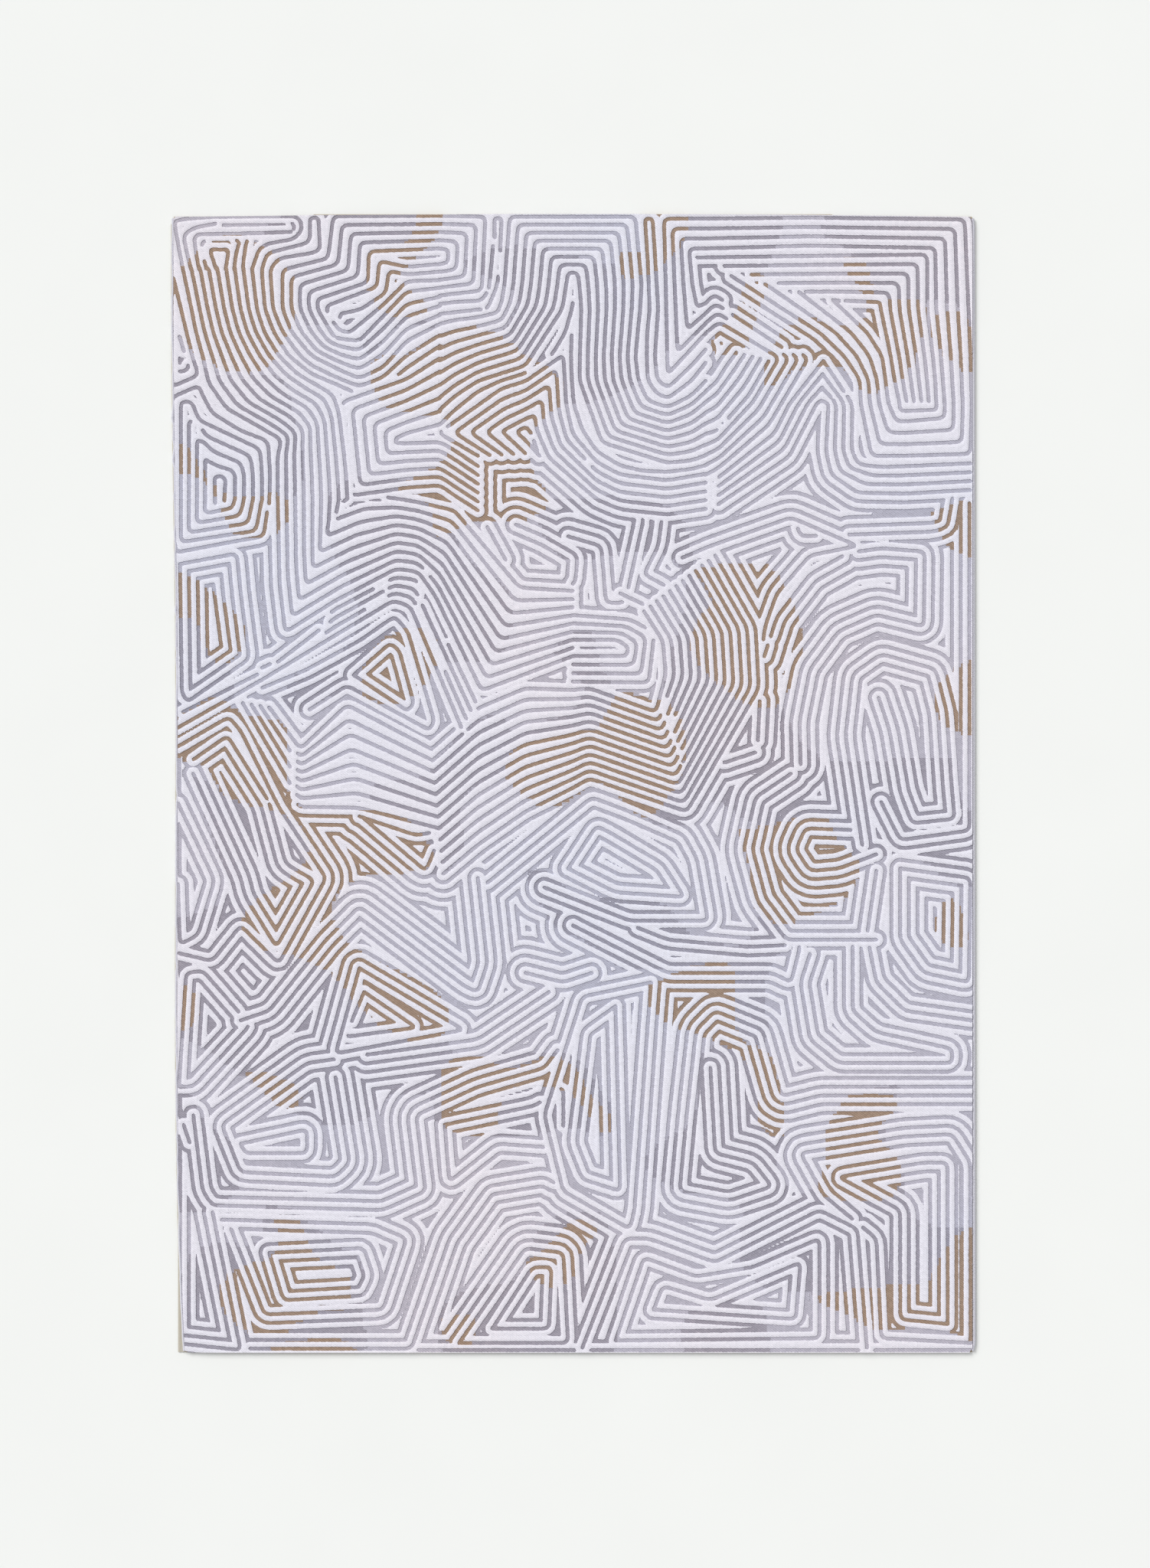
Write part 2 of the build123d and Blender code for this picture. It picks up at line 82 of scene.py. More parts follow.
single_lines = [
    # The nest in the head end's west corner
    [(-822, 1084), (-838, 1169), (-839, 1185), (-814, 1190), (-749, 1194), (-588, 1195),
     (-574, 1187), (-571, 1165), (-588, 1147), (-644, 1137), (-662, 1125), (-676, 1084)],
    [(-805, 1084), (-814, 1121), (-821, 1155), (-798, 1171), (-749, 1180), (-592, 1181),
     (-586, 1172), (-592, 1162), (-676, 1159), (-789, 1157), (-798, 1149), (-794, 1117),
     (-788, 1084)],
    [(-681, 1155), (-689, 1137), (-694, 1104), (-695, 1084)],
    [(-772, 1084), (-782, 1121), (-781, 1139), (-773, 1144), (-709, 1145), (-703, 1139),
     (-710, 1117), (-714, 1084)],
    [(-752, 1084), (-763, 1117), (-763, 1125), (-729, 1125), (-726, 1119), (-732, 1084)],
    # The west border and the nests along it, down to the first long wave
    [(-846, 1110), (-846, 835), (-789, 860), (-802, 900), (-814, 950), (-826, 1000), (-842, 1065)],
    [(-831, 950), (-834, 865), (-808, 872), (-829, 942)],
    [(-846, 600), (-846, 813), (-788, 838), (-779, 815), (-760, 780), (-700, 743), (-650, 724),
     (-642, 714), (-638, 650), (-640, 590)],
    [(-754, 590), (-755, 645), (-742, 648), (-732, 640), (-735, 590)],
    # Round the head end's west nest and the arches
    [(-280, 945), (-350, 902), (-400, 856), (-450, 836), (-500, 856), (-550, 880), (-574, 900),
     (-611, 950), (-632, 1000), (-638, 1084), (-620, 1106), (-547, 1118), (-533, 1126),
     (-536, 1192), (-554, 1192), (-554, 1149), (-562, 1138), (-644, 1117), (-656, 1084),
     (-649, 1000), (-630, 950), (-598, 900), (-550, 862), (-500, 841), (-450, 819), (-400, 834),
     (-350, 876), (-280, 922)],
    [(-280, 1094), (-350, 1088), (-408, 1101), (-413, 1046), (-519, 1006), (-516, 985),
     (-490, 953), (-470, 950), (-400, 1008), (-350, 1058), (-280, 1060)],
    [(-280, 1078), (-350, 1072), (-388, 1080), (-394, 1034), (-448, 998), (-488, 990), (-491, 982)],
    [(-165, 1150), (-165, 1191), (-150, 1191), (-154, 1100), (-159, 1050), (-180, 1000),
     (-200, 998), (-280, 989)],
    [(-165, 1170), (-171, 1100), (-177, 1040), (-192, 1017), (-250, 1014), (-280, 1010)],
    [(0, 1012), (-2, 1000), (-16, 950), (-46, 900), (-100, 864), (-150, 849), (-200, 826),
     (-250, 786), (-280, 756)],
    [(-5, 962), (-2, 950), (-4, 900), (-2, 850), (2, 800), (20, 745), (50, 700), (100, 669),
     (150, 658), (200, 656), (250, 662), (280, 670)],
    [(-70, 690), (-100, 723), (-120, 741), (-98, 752), (-86, 735), (-75, 700)],
    # The foot of the nest in the head end's east corner
    [(766, 805), (767, 787), (690, 784), (688, 805)],
    # The loop east of the head end's middle
    [(280, 914), (250, 880), (200, 833), (178, 850), (173, 900), (180, 1000), (174, 1100),
     (168, 1190), (152, 1190), (158, 1100), (162, 1000), (157, 950), (156, 900), (158, 850),
     (176, 822), (200, 811), (250, 848), (280, 886)],
    # The nests of the west half, from the first long wave to y = 110
    [(-838, 600), (-838, 486), (-700, 512), (-652, 520), (-640, 600)],
    [(-828, 462), (-708, 484), (-700, 400), (-682, 262), (-812, 172), (-824, 190), (-828, 462)],
    [(-705, 180), (-560, 240), (-450, 300), (-375, 352), (-348, 320), (-318, 220), (-292, 130),
     (-303, 112), (-476, 206), (-555, 155)],
    [(-462, 228), (-385, 295), (-366, 280), (-335, 168), (-348, 152), (-462, 228)],
    # The west border, and the nests of the west half about the middle's height
    [(-848, 590), (-848, 100), (-846, -380), (-846, -1190)],
    [(-845, 70), (-725, 140), (-700, 110), (-620, -50), (-520, -200), (-620, -380), (-700, -300),
     (-760, -375), (-845, -355)],
    [(-800, 50), (-728, 100), (-640, -40), (-605, -170), (-545, -205), (-625, -345), (-690, -240),
     (-700, -200), (-800, 20)],
    [(-838, -30), (-795, -120), (-755, -205), (-790, -320), (-828, -340), (-838, -30)],
    [(-450, -70), (-330, -110), (-275, -100), (-310, -185), (-440, -75)],
    # The middle and the east half, down to y = -330
    [(-120, 545), (-60, 520), (10, 480), (5, 420), (-100, 395), (-180, 540)],
    [(100, 400), (180, 362), (225, 300), (222, 220), (200, 130), (245, 260), (275, 330),
     (225, 400), (150, 440), (180, 500), (190, 575)],
    [(-10, 520), (60, 500), (70, 380), (110, 380), (150, 560), (40, 600)],
    [(230, 475), (290, 500), (460, 560), (600, 500), (500, 480), (430, 400), (405, 330),
     (395, 250), (360, 400), (300, 470)],
    [(390, 90), (398, 250), (430, 350), (500, 440), (580, 485), (650, 495), (742, 488), (740, 330),
     (640, 355), (560, 320), (500, 240), (478, 130), (480, 40)],
    [(800, 600), (790, 540), (760, 530), (480, 520), (460, 580)],
    [(610, -130), (575, 100), (590, 230), (650, 272), (765, 240), (788, 150), (798, 0), (805, -75),
     (715, -85), (690, -20), (668, 110), (645, 180)],
    [(836, 590), (836, -100), (690, -120), (650, -40)],
    [(385, 65), (310, 40), (330, 120), (345, 300), (318, 420)],
    [(460, 20), (385, -30), (360, -140), (390, -250), (450, -330), (640, -330)],
    [(640, -150), (560, -180), (500, -185), (470, -140), (490, -95), (620, -100)],
    # The middle and the east half, below the middle
    [(-10, -180), (50, -90), (80, -105), (190, -170), (235, -240), (90, -230), (-10, -180)],
    [(-180, -210), (40, -30), (120, -60), (235, -110), (262, -160), (285, -290), (120, -290),
     (-60, -220)],
    [(640, -185), (620, -320), (640, -420), (700, -480), (840, -500)],
    [(690, -180), (690, -330), (740, -400), (835, -420), (838, -200), (690, -180)],
    [(590, -330), (590, -480), (640, -525), (800, -560), (800, -590), (560, -590), (500, -540),
     (480, -420), (500, -360)],
    [(840, -640), (520, -640), (440, -660), (400, -520), (300, -480), (260, -520), (240, -700),
     (225, -860), (330, -880), (420, -850), (380, -800), (300, -780), (290, -600)],
    [(0, -300), (160, -380), (200, -400), (420, -400), (460, -420), (480, -340), (370, -345),
     (200, -330), (100, -290)],
    [(165, -420), (160, -480), (130, -900), (120, -940), (-20, -860), (-60, -700), (20, -450),
     (165, -420)],
    [(90, -470), (100, -860), (20, -835), (-10, -760), (20, -520), (90, -470)],
    # The west half, below the middle
    [(-200, -200), (-180, -380), (-200, -440), (-225, -430), (-450, -260), (-520, -330),
     (-640, -480), (-700, -500)],
    [(-450, -390), (-230, -520), (-500, -570), (-450, -390)],
    [(-440, -440), (-330, -515), (-480, -535), (-440, -440)],
    [(-830, -640), (-815, -400), (-780, -395), (-680, -510), (-800, -640), (-830, -640)],
    [(-100, -400), (-20, -420), (40, -400)],
    [(-800, -700), (-780, -860), (-760, -890), (-400, -900), (-310, -860), (-330, -700),
     (-200, -640), (-60, -600), (0, -520)],
    [(-500, -620), (-470, -800), (-500, -830), (-700, -820), (-740, -720), (-560, -590),
     (-200, -540), (-50, -440)],
    [(-700, -760), (-560, -730), (-560, -780), (-690, -780), (-700, -760)],
    [(-270, -720), (-260, -840), (-160, -760), (-20, -770), (-20, -640), (-80, -680), (-270, -720)],
    # The foot end
    [(-740, -920), (-420, -930), (-350, -960), (-400, -1110), (-650, -1120), (-720, -940)],
    [(-640, -990), (-440, -980), (-420, -1040), (-440, -1080), (-610, -1090), (-640, -990)],
    [(-840, -1180), (-700, -1195), (-760, -900), (-820, -720)],
    [(-680, -1192), (-340, -1192), (-260, -960), (-180, -850), (-60, -830), (60, -900),
     (110, -930)],
    [(-240, -1180), (-100, -980), (-20, -990), (-10, -1180), (-240, -1180)],
    [(-170, -1150), (-85, -1020), (-45, -1020), (-50, -1150), (-170, -1150)],
    [(20, -1190), (110, -960), (160, -960), (300, -1010), (520, -900), (600, -940), (620, -1190)],
    [(90, -1175), (150, -1000), (260, -1040), (380, -1020), (520, -960), (520, -1170), (90, -1175)],
    [(170, -1110), (190, -1060), (290, -1090), (480, -1010), (470, -1130), (170, -1110)],
    [(840, -1180), (650, -1170), (640, -960), (530, -870), (480, -780), (700, -745), (800, -740),
     (838, -800), (838, -1180)],
    [(790, -1140), (690, -1130), (690, -900), (560, -830), (740, -800), (790, -800), (790, -1140)],
    [(-560, -1195), (560, -1195), (840, -1195)],
]

runs = [
    # Down the west side of the head end
    (9, [((-822, 1084), (-676, 1084)), ((-804, 1000), (-666, 1000)), ((-794, 950), (-650, 950)),
         ((-780, 900), (-619, 900)), ((-768, 845), (-580, 862)), ((-730, 790), (-545, 842)),
         ((-650, 745), (-505, 818)), ((-614, 724), (-493, 780)), ((-622, 690), (-483, 700)),
         ((-622, 650), (-478, 650)), ((-622, 600), (-475, 600))]),
    (5, [((-280, 1028), (-280, 1094)), ((-192, 1038), (-263, 1098)), ((-184, 1194), (-262, 1124)),
         ((-280, 1196), (-280, 1127)), ((-505, 1195), (-430, 1121)), ((-516, 1106), (-432, 1056)),
         ((-612, 1082), (-538, 1020)), ((-612, 1000), (-538, 1000)), ((-592, 950), (-514, 958)),
         ((-550, 900), (-502, 940)), ((-490, 870), (-487, 936)), ((-450, 853), (-450, 932)),
         ((-400, 877), (-400, 984)), ((-350, 932), (-350, 1036)), ((-280, 968), (-280, 1044))]),
    (6, [((-280, 756), (-280, 896)), ((-350, 738), (-350, 852)), ((-373, 727), (-487, 803)),
         ((-373, 717), (-466, 606)), ((-350, 716), (-350, 623)), ((-280, 719), (-280, 628)),
         ((-250, 702), (-250, 607)), ((-200, 668), (-200, 575))]),
    (4, [((-826, 600), (-775, 600)), ((-826, 804), (-775, 683)), ((-803, 804), (-764, 676)),
         ((-788, 765), (-745, 667)), ((-659, 704), (-720, 660)), ((-655, 650), (-712, 650)),
         ((-655, 600), (-712, 600))]),
    # The arches at the middle of the head end
    (8, [((-280, 968), (-280, 788)), ((-250, 976), (-250, 815)), ((-200, 982), (-200, 848)),
         ((-158, 992), (-100, 880)), ((-150, 1015), (-22, 1000)), ((-144, 1050), (-14, 1050)),
         ((-133, 1194), (-10, 1076)), ((132, 1194), (10, 1076)), ((145, 1050), (14, 1050)),
         ((142, 1000), (18, 1000)), ((132, 900), (15, 900)), ((138, 850), (14, 850)),
         ((158, 806), (62, 718)), ((200, 792), (200, 675)), ((250, 817), (250, 680)),
         ((280, 848), (280, 691))]),
    (5, [((-200, 690), (-100, 695)), ((-283, 738), (-149, 741)), ((-150, 832), (-138, 748)),
         ((-100, 847), (-100, 768)), ((-20, 903), (-80, 776)), ((-14, 800), (-76, 745)),
         ((0, 736), (-50, 686)), ((50, 677), (50, 598)), ((100, 650), (100, 577)),
         ((200, 638), (200, 566)), ((280, 652), (280, 578))]),
    (4, [((280, 948), (280, 1012)), ((200, 862), (262, 1003)), ((196, 1050), (252, 1050)),
         ((192, 1190), (245, 1127)), ((280, 1190), (280, 1127))]),
    # The corner nest at the head end's east side
    (4, [((280, 1190), (280, 1127)), ((500, 1192), (500, 1133)), ((826, 1188), (764, 1128)),
         ((834, 1000), (766, 1000)), ((838, 900), (776, 900)), ((841, 800), (784, 800)),
         ((838, 694), (784, 770)), ((700, 690), (700, 762)), ((630, 690), (682, 764)),
         ((607, 800), (665, 800)), ((605, 850), (659, 850)), ((572, 900), (652, 900)),
         ((520, 950), (620, 950)), ((334, 1069), (548, 1018))]),
    (6, [((262, 1108), (548, 1018)), ((560, 1112), (560, 1017)), ((747, 1114), (647, 1014)),
         ((747, 1000), (649, 1000)), ((759, 900), (670, 900)), ((764, 850), (678, 850)),
         ((766, 805), (688, 805))]),
    # The bowl under the arches
    (4, [((280, 948), (280, 1012)), ((308, 972), (298, 1030)), ((435, 897), (496, 895)),
         ((381, 805), (413, 755)), ((306, 724), (308, 665)), ((280, 713), (280, 650))]),
    (5, [((280, 826), (280, 736)), ((302, 845), (305, 743)), ((329, 887), (372, 819)),
         ((345, 908), (413, 890))]),
    (4, [((524, 806), (528, 890)), ((514, 800), (457, 800)), ((456, 688), (425, 737)),
         ((307, 588), (308, 645))]),
    (4, [((524, 806), (528, 890)), ((539, 800), (589, 800)), ((534, 700), (588, 700)),
         ((545, 650), (602, 672)), ((600, 612), (650, 666)), ((700, 610), (700, 668)),
         ((838, 618), (838, 674))]),
    # The long waves of the west side
    (9, [((-622, 600), (-475, 600)), ((-618, 420), (-480, 596)), ((-606, 318), (-490, 588)),
         ((-500, 385), (-430, 606)), ((-372, 452), (-372, 600)), ((-325, 445), (-325, 592)),
         ((-290, 395), (-250, 575)), ((-192, 195), (-112, 412)), ((0, 268), (0, 405))]),
    (4, [((-655, 600), (-712, 600)), ((-668, 532), (-718, 580)), ((-826, 508), (-776, 568)),
         ((-826, 600), (-775, 600))]),
    (4, [((-845, 110), (-810, 170)), ((-660, 215), (-630, 255)), ((-500, 312), (-502, 366)),
         ((-378, 385), (-374, 434)), ((-342, 372), (-328, 428)), ((-235, 118), (-205, 172))]),
    (8, [((-298, 72), (-282, -95)), ((-476, 165), (-452, -52)), ((-574, 72), (-578, -50)),
         ((-640, 160), (-705, 170))]),
    (12, [((-298, 72), (-273, -191)), ((-200, 158), (-200, -130)), ((-100, 200), (-100, -60)),
          ((0, 196), (0, -10)), ((35, 200), (35, 10)), ((175, 150), (240, -60)),
          ((196, 230), (392, 200)), ((190, 300), (385, 330)), ((150, 362), (300, 480))]),
    (4, [((0, 302), (0, 354)), ((95, 302), (120, 345)), ((118, 285), (172, 318)),
         ((112, 268), (160, 212)), ((0, 268), (0, 214))]),
]

# ------------------------------------------------------------------ sizes of the pile
tuft_step_mm = 4.15  # of the grid that the ridges are cut from
base_step_mm = 8.0  # of the grid of the lower pile
ridge_sections = 8  # from the foot to the head, so that no piece is too heavy
base_sections = 2
shoulder_drop_mm = 1.4  # of a ridge's edge below its crown
shoulder_reach_mm = 2.3  # how far in from its edge a ridge rounds over
ridge_root_mm = 0.5  # how far the ridges are let into the lower pile
edge_wander_mm = 0.45  # of a groove's edge to either side
tip_unevenness_mm = 0.12
fill_reach_mm = 150.0  # how far from a line the grooves follow it
tuft_seed = 11
least_cut = 0.08  # of a grid edge, so that no sliver is left where a groove's edge crosses it

# Sizes of the yarns and the weave
pick_mm = 4.75  # from one row of tufts to the next
end_mm = 6.6  # from one tuft to the next along its row
tape_end_mm = 2.0  # from one rib of the hem tape to the next
stitch_mm = 9.0  # from one hem stitch to the next
stitch_share = 0.72  # of that step, which the thread covers
wrap_mm = 3.2  # from one turn of the overcast yarn to the next
wrap_yarn_mm = 1.9  # the overcast yarn's thickness
wrap_slant = math.radians(14)  # of a turn from square to the edge
wrap_wander = math.radians(4)
size_sink_mm = 0.12  # of the latex between two picks, to either side of its mean
yarn_uneven = 0.06  # how much thinner the thinnest ground yarn is
thread_uneven = 0.15


def node_points(node):
    """Corners of a CAD node's mesh, in metres."""
    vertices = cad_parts[node].data.vertices
    points = np.empty(len(vertices) * 3)
    vertices.foreach_get("co", points)
    return points.reshape(-1, 3)


def top_faces(node):
    """Plan triangles of a CAD node's upper face, in metres."""
    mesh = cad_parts[node].data
    points = node_points(node)
    mesh.calc_loop_triangles()
    corners = np.empty(len(mesh.loop_triangles) * 3, np.int32)
    mesh.loop_triangles.foreach_get("vertices", corners)
    faces = points[corners.reshape(-1, 3)]
    on_top = faces[:, :, 2].min(axis=1) > points[:, 2].max() - same_level
    return faces[on_top][:, :, :2]


# ------------------------------------------------------------------ the outline, from the frame
field = node_points("ivory_ridge_pile")
field_low, field_high = field.min(axis=0), field.max(axis=0)
side_band = 0.05  # metres; the outline's points this near to a side belong to it
head_band = 0.006  # and these to the head end


def sorted_by(points, axis):
    """Points in the order of one of their coordinates."""
    return points[np.argsort(points[:, axis])]


west_line = sorted_by(field[field[:, 0] < field_low[0] + side_band], 1)
east_line = sorted_by(field[field[:, 0] > field_high[0] - side_band], 1)
head_line = sorted_by(field[field[:, 1] > field_high[1] - head_band], 0)
head_corner = head_line[0, 1]


def west_edge(y):
    """X of the west edge at levels of Y, in metres."""
    return np.interp(y, west_line[:, 1], west_line[:, 0])


def east_edge(y):
    """X of the east edge at levels of Y, in metres."""
    return np.interp(y, east_line[:, 1], east_line[:, 0])


def head_edge(x):
    """Y of the head end at places along X, in metres."""
    return np.interp(x, head_line[:, 0], head_line[:, 1])


def field_grid(across_mm, along_mm):
    """Plan grid over the woven field, following its outline. Its rows run from the foot up."""
    columns = round((field_high[0] - field_low[0]) / (across_mm * MM))
    rows = round((field_high[1] - field_low[1]) / (along_mm * MM))
    across, along = np.meshgrid(np.linspace(0, 1, columns + 1), np.linspace(0, 1, rows + 1))
    y = field_low[1] + along * (head_corner - field_low[1])
    x = west_edge(y) + across * (east_edge(y) - west_edge(y))
    return x, y + along * (head_edge(x) - head_corner)


# ------------------------------------------------------------------ drawing the grooves
def bent(corners):
    """A line through its corners with each of them rounded off."""
    line = [corners[0]]
    for before, corner, after in zip(corners, corners[1:], corners[2:]):
        in_leg, out_leg = before - corner, after - corner
        in_length, out_length = np.linalg.norm(in_leg), np.linalg.norm(out_leg)
        reach = min(bend_reach_mm, most_bend * in_length, most_bend * out_length)
        start = corner + in_leg / in_length * reach
        end = corner + out_leg / out_length * reach
        for share in (0.0, 0.33, 0.67, 1.0):
            rest = 1 - share
            line.append(start * rest**2 + corner * 2 * share * rest + end * share**2)
    line.append(corners[-1])
    return line


def groove_lines():
    """Every line of the pattern, rounded and brought from the sheet to the rug, in metres."""
    size = np.array(cad_high - cad_low)[:2]
    to_rug = size / np.array([sheet_width_mm, sheet_length_mm])
    drawn = []
    for count, rungs in runs:
        rungs = np.array(rungs, float)
        for share in np.linspace(0, 1, count):
            drawn.append(rungs[:, 0] * (1 - share) + rungs[:, 1] * share)
    drawn += [np.array(line, float) for line in single_lines]
    laid = []
    for line in drawn:
        laid += clear_stretches(np.array(bent(line)), laid)
    return [line * to_rug for line in laid]


def clear_stretches(line, laid):
    """The stretches of a line that keep clear of the lines laid before it.

    The ends of two lines may meet: that is how a line goes on from one run into the next.
    """
    points = []
    for start, end in zip(line, line[1:]):
        count = int(np.ceil(np.linalg.norm(end - start) / line_step_mm)) or 1
        points += [start + (end - start) * k / count for k in range(count)]
    points = np.array(points + [line[-1]])
    gaps = np.full(len(points), np.inf)
    low, high = points.min(axis=0) - clear_gap_mm, points.max(axis=0) + clear_gap_mm
    near_start, near_end = slice(None, meeting_steps), slice(-meeting_steps, None)
    for other in laid:
        if (other.max(axis=0) < low).any() or (other.min(axis=0) > high).any():
            continue
        away = np.hypot(*(points[:, None] - other[None]).transpose(2, 0, 1))
        for own_end in (near_start, near_end):
            for other_end in (near_start, near_end):
                away[own_end, other_end] = np.inf
        gaps = np.minimum(gaps, away.min(axis=1))
    clear = np.concatenate([[0], gaps > clear_gap_mm, [0]])
    starts = np.flatnonzero(np.diff(clear) == 1)
    ends = np.flatnonzero(np.diff(clear) == -1)
    return [
        points[first:last]
        for first, last in zip(starts, ends)
        if (last - first) * line_step_mm > least_stretch_mm
    ]


def distance_to_lines(x, y, lines, reach):
    """Distance of each grid point from the nearest line, in metres, as far as the reach."""
    rows, columns = x.shape
    nearest = np.full(x.shape, reach)
    column_step = (field_high[0] - field_low[0]) / (columns - 1)
    row_step = (field_high[1] - field_low[1]) / (rows - 1)
    lean = side_band  # the grid's columns lean, so a line's columns are only roughly known
    shortest = 1e-12  # square of a leg's length, so that a point doubled by chance does no harm
    for line in lines:
        for start, end in zip(line, line[1:]):
            low = np.minimum(start, end) - reach
            high = np.maximum(start, end) + reach
            first_column = max(0, int((low[0] - lean - field_low[0]) / column_step))
            last_column = min(columns, int((high[0] + lean - field_low[0]) / column_step) + 2)
            first_row = max(0, int((low[1] - field_low[1]) / row_step) - 1)
            last_row = min(rows, int((high[1] - field_low[1]) / row_step) + 3)
            if first_column >= last_column or first_row >= last_row:
                continue
            window = (slice(first_row, last_row), slice(first_column, last_column))
            leg = end - start
            dx, dy = x[window] - start[0], y[window] - start[1]
            share = np.clip((dx * leg[0] + dy * leg[1]) / max(leg @ leg, shortest), 0, 1)
            away = np.hypot(dx - share * leg[0], dy - share * leg[1])
            nearest[window] = np.minimum(nearest[window], away)
    return nearest


def ridge_depth(x, y):
    """How far each grid point lies inside a ridge, in metres; below nought it is in a groove."""
    away = distance_to_lines(x, y, groove_lines(), fill_reach_mm * MM)
    pitch = groove_pitch_mm * MM
    away = np.abs((away + pitch / 2) % pitch - pitch / 2)
    return away - groove_width_mm * MM / 2


# ------------------------------------------------------------------ meshes
def build_piece(name, points, face_sets, smooth_sets, material):
    """A mesh object from its points in metres and several arrays of faces."""
    mesh = bpy.data.meshes.new(name)
    mesh.vertices.add(len(points))
    mesh.vertices.foreach_set("co", np.asarray(points, np.float32).ravel())
    corners = np.concatenate([faces.ravel() for faces in face_sets])
    sizes = np.concatenate([np.full(len(faces), faces.shape[1]) for faces in face_sets])
    smooth = np.concatenate([np.full(len(f), s) for f, s in zip(face_sets, smooth_sets)])
    mesh.loops.add(len(corners))
    mesh.loops.foreach_set("vertex_index", corners.astype(np.int32))
    mesh.polygons.add(len(sizes))
    starts = np.concatenate([[0], np.cumsum(sizes)[:-1]])
    mesh.polygons.foreach_set("loop_start", starts.astype(np.int32))
    mesh.polygons.foreach_set("use_smooth", smooth)
    mesh.update(calc_edges=True)
    mesh.materials.append(material)
    piece = bpy.data.objects.new(name, mesh)
    scene.collection.objects.link(piece)
    return piece


def slab_piece(name, points, faces, underside_level, material):
    """A closed piece from its upper faces, with walls round their rim down to a flat underside."""
    used, compact = np.unique(faces, return_inverse=True)
    compact = compact.reshape(faces.shape)
    top = points[used]
    count = len(top)
    under = top.copy()
    under[:, 2] = underside_level
    sides = faces.shape[1]
    edges = np.concatenate([compact[:, [k, (k + 1) % sides]] for k in range(sides)])
    forward = edges[:, 0] * count + edges[:, 1]
    backward = edges[:, 1] * count + edges[:, 0]
    rim = edges[~np.isin(forward, backward)]
    walls = np.stack([rim[:, 0], rim[:, 0] + count, rim[:, 1] + count, rim[:, 1]], axis=1)
    face_sets = [compact, walls, compact[:, ::-1] + count]
    points = np.concatenate([top, under])
    piece = build_piece(name, points, face_sets, [True, False, False], material)
    # The rim is a sharp edge, so that two neighbouring pieces are shaded as one surface
    ends = np.zeros(len(piece.data.edges) * 2, np.int32)
    piece.data.edges.foreach_get("vertices", ends)
    ends, rim = np.sort(ends.reshape(-1, 2), axis=1), np.sort(rim, axis=1)
    sharp = np.isin(ends @ [len(points), 1], rim @ [len(points), 1])
    piece.data.attributes.new("sharp_edge", "BOOLEAN", "EDGE").data.foreach_set("value", sharp)
    return piece


def grid_cells(rows, columns):
    """Corners of a grid's cells, anticlockwise from the lower left one."""
    lower_left = (np.arange(rows - 1)[:, None] * columns + np.arange(columns - 1)).ravel()
    return lower_left[:, None] + np.array([0, 1, columns + 1, columns])


def ridge_faces(depth):
    """Triangles of the grid inside the ridges, cut where the depth is nought.

    Returns the triangles, the row of each, and for the new corners on cut grid edges the edges'
    two ends and how far along each of them the corner is.
    """
    rows, columns = depth.shape
    cells = grid_cells(rows, columns)
    # Each cell is cut from its upper left to its lower right corner, along the grain of the tufts
    triangles = np.concatenate([cells[:, [0, 1, 3]], cells[:, [1, 2, 3]]])
    row_of = np.tile(np.arange(len(cells)) // (columns - 1), 2)
    depth = depth.ravel()
    inside = depth[triangles] > 0
    whole = inside.all(axis=1)
    cut = inside.any(axis=1) & ~whole
    cut_triangles, cut_inside = triangles[cut], inside[cut]
    one_inside = cut_inside.sum(axis=1) == 1
    odd_corner = np.argmax(cut_inside == one_inside[:, None], axis=1)
    turned = (odd_corner[:, None] + np.arange(3)) % 3
    odd, left, right = np.take_along_axis(cut_triangles, turned, axis=1).T
    point_count = depth.size

    def edge_keys(ends):
        return np.minimum(odd, ends) * point_count + np.maximum(odd, ends)

    keys, number = np.unique(np.concatenate([edge_keys(left), edge_keys(right)]), return_inverse=True)
    number = number.reshape(2, -1) + point_count
    on_left, on_right = number
    ends = np.stack([keys // point_count, keys % point_count], axis=1)
    end_depths = depth[ends]
    share = end_depths[:, 0] / (end_depths[:, 0] - end_depths[:, 1])
    share = np.clip(share, least_cut, 1 - least_cut)
    lone, pair = one_inside, ~one_inside
    faces = np.concatenate([
        triangles[whole],
        np.stack([odd, on_left, on_right], axis=1)[lone],
        np.stack([on_left, left, right], axis=1)[pair],
        np.stack([on_left, right, on_right], axis=1)[pair],
    ])
    cut_rows = row_of[cut]
    face_rows = np.concatenate([row_of[whole], cut_rows[lone], cut_rows[pair], cut_rows[pair]])
    return faces, face_rows, ends, share


def make_ridges(material):
    """The ivory ridges, in sections from the foot to the head."""
    low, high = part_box("ivory_ridge_pile")
    x, y = field_grid(tuft_step_mm, tuft_step_mm)
    random = np.random.default_rng(tuft_seed)
    depth = ridge_depth(x, y) + random.uniform(-1, 1, x.shape) * edge_wander_mm * MM
    faces, face_rows, ends, share = ridge_faces(depth)
    rise = 1 - np.exp(-np.clip(depth, 0, None) / (shoulder_reach_mm * MM))
    shoulder = high[2] - shoulder_drop_mm * MM
    tips = random.uniform(-1, 0, x.shape) * tip_unevenness_mm * MM
    level = shoulder + rise * shoulder_drop_mm * MM + tips
    grid = np.stack([x.ravel(), y.ravel(), level.ravel()], axis=1)
    first, last = grid[ends[:, 0]], grid[ends[:, 1]]
    crossing = first + (last - first) * share[:, None]
    crossing[:, 2] = shoulder
    points = np.concatenate([grid, crossing])
    section = face_rows * ridge_sections // (x.shape[0] - 1)
    root = low[2] - ridge_root_mm * MM
    return [
        slab_piece(f"ivory_ridge_pile_{k + 1}", points, faces[section == k], root, material)
        for k in range(ridge_sections)
    ]


